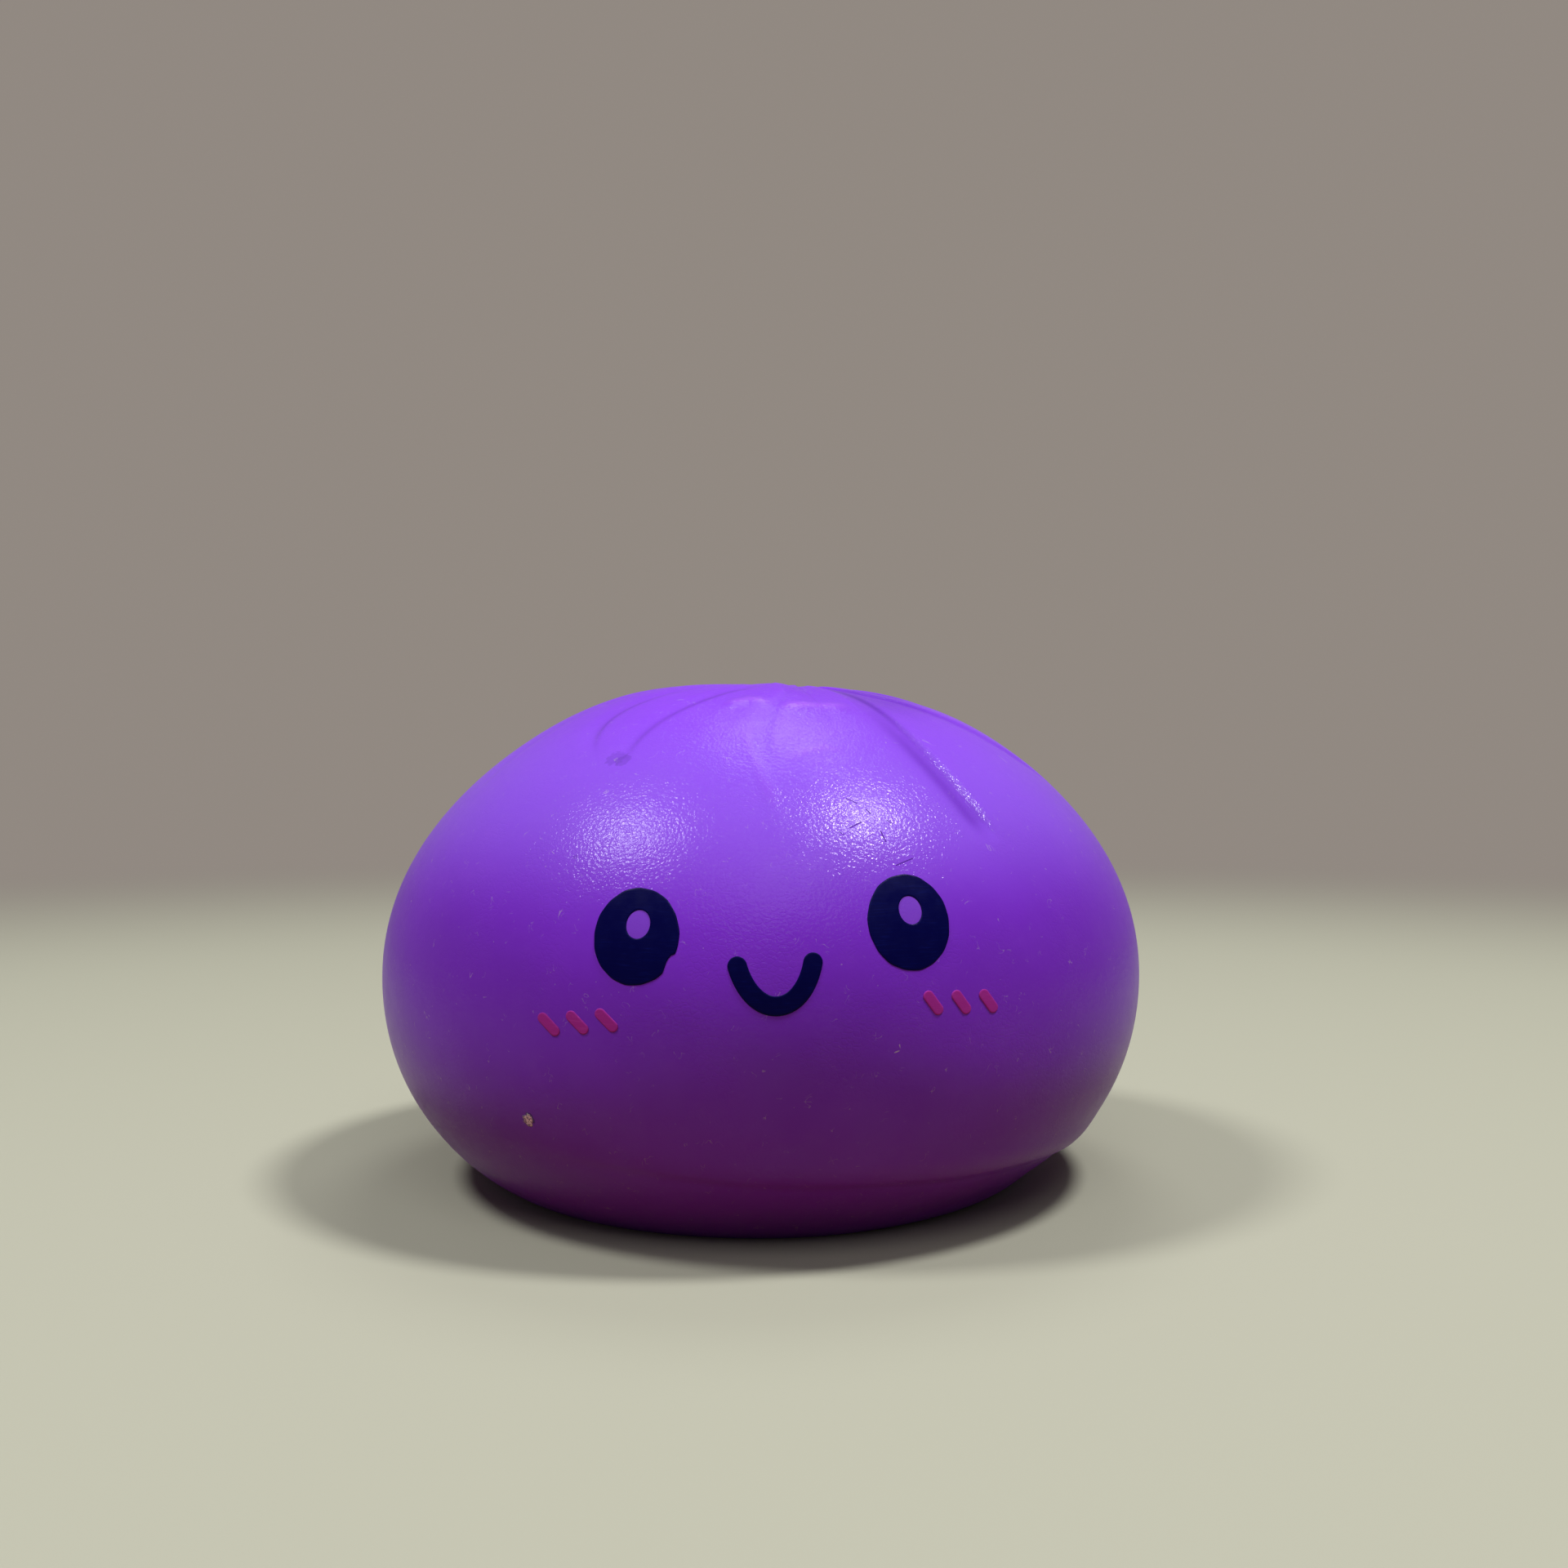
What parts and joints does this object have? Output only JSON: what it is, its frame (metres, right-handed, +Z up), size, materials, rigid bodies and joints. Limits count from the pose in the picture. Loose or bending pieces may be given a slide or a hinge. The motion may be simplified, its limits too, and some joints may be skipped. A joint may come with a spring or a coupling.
{
  "type": "stress ball",
  "caption": "Soft squeeze ball shaped like a steamed bun: a dough-filled moulded skin with a pleated crown, a flat underside and a small printed smiling face.",
  "frame": {"origin": "middle of the flat underside, on the surface that the ball stands on", "axes": "+Z up through the crown, -Y out of the printed face, +X to the right of someone who looks at the face"},
  "size_m": [0.15, 0.15, 0.097],
  "materials": {
    "skin_rubber": "satin moulded thermoplastic rubber",
    "dough": "matte soft starch dough",
    "plug_rubber": "matte moulded rubber",
    "clear_seal": "milky glued film",
    "navy_ink": "satin pad-printed ink",
    "red_ink": "satin pad-printed ink"
  },
  "bodies": {
    "body": {"skin": "skin_rubber", "filling": "dough", "filler_plug": "plug_rubber", "plug_seal": "clear_seal", "left_eye_print": "navy_ink", "right_eye_print": "navy_ink", "mouth_print": "navy_ink", "left_blush_outer": "red_ink", "left_blush_middle": "red_ink", "left_blush_inner": "red_ink", "right_blush_inner": "red_ink", "right_blush_middle": "red_ink", "right_blush_outer": "red_ink"},
    "crown": {"crown_knot": "skin_rubber"}
  },
  "joints": [
    {"name": "squeeze", "type": "slide", "parent": "body", "child": "crown", "axis": [0, 0, -1], "range_m": [0, 0.0235], "stiffness_N_per_m": 1500, "deforming": ["skin", "filling", "left_eye_print", "right_eye_print", "mouth_print", "left_blush_outer", "left_blush_middle", "left_blush_inner", "right_blush_inner", "right_blush_middle", "right_blush_outer"]}
  ]
}
